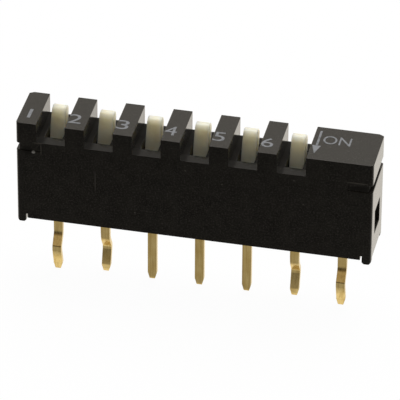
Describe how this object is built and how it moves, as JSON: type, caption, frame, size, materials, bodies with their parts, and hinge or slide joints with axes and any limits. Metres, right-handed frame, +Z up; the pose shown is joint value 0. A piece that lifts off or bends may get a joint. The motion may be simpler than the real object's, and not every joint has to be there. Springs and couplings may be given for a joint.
{
  "type": "dip switch",
  "caption": "Slim single-in-line dip switch: black moulded housing with tilting ivory levers in open channels above a row of gold-plated pins.",
  "frame": {"origin": "centre of the pin row, on the plane of the feet that sits on a board", "axes": "+X along the pin row towards the common pin, -Y the way the levers tilt to switch on, +Z up out of the board"},
  "size_m": [0.0189, 0.0032, 0.0097],
  "materials": {
    "housing": "fine matte moulding",
    "base": "fine matte moulding",
    "lever": "ivory, slightly translucent",
    "contact": "gold-plated spring strip",
    "terminal": "thin gold plating"
  },
  "bodies": {
    "body": {"housing": "housing", "base": "base", "common_terminal": "terminal", "terminal_1": "terminal", "terminal_2": "terminal", "terminal_3": "terminal", "terminal_4": "terminal", "terminal_5": "terminal", "terminal_6": "terminal"},
    "lever_1": {"lever_1": "lever", "contact_spring_1": "contact"},
    "lever_2": {"lever_2": "lever", "contact_spring_2": "contact"},
    "lever_3": {"lever_3": "lever", "contact_spring_3": "contact"},
    "lever_4": {"lever_4": "lever", "contact_spring_4": "contact"},
    "lever_5": {"lever_5": "lever", "contact_spring_5": "contact"},
    "lever_6": {"lever_6": "lever", "contact_spring_6": "contact"}
  },
  "joints": [
    {"name": "lever_1_tilt", "type": "hinge", "parent": "body", "child": "lever_1", "pos_m": [-0.00762, 0, 0.00375], "axis": [1, 0, 0], "range_deg": [0, 36]},
    {"name": "lever_2_tilt", "type": "hinge", "parent": "body", "child": "lever_2", "pos_m": [-0.00508, 0, 0.00375], "axis": [1, 0, 0], "range_deg": [0, 36]},
    {"name": "lever_3_tilt", "type": "hinge", "parent": "body", "child": "lever_3", "pos_m": [-0.00254, 0, 0.00375], "axis": [1, 0, 0], "range_deg": [0, 36]},
    {"name": "lever_4_tilt", "type": "hinge", "parent": "body", "child": "lever_4", "pos_m": [0, 0, 0.00375], "axis": [1, 0, 0], "range_deg": [0, 36]},
    {"name": "lever_5_tilt", "type": "hinge", "parent": "body", "child": "lever_5", "pos_m": [0.00254, 0, 0.00375], "axis": [1, 0, 0], "range_deg": [0, 36]},
    {"name": "lever_6_tilt", "type": "hinge", "parent": "body", "child": "lever_6", "pos_m": [0.00508, 0, 0.00375], "axis": [1, 0, 0], "range_deg": [0, 36]}
  ]
}
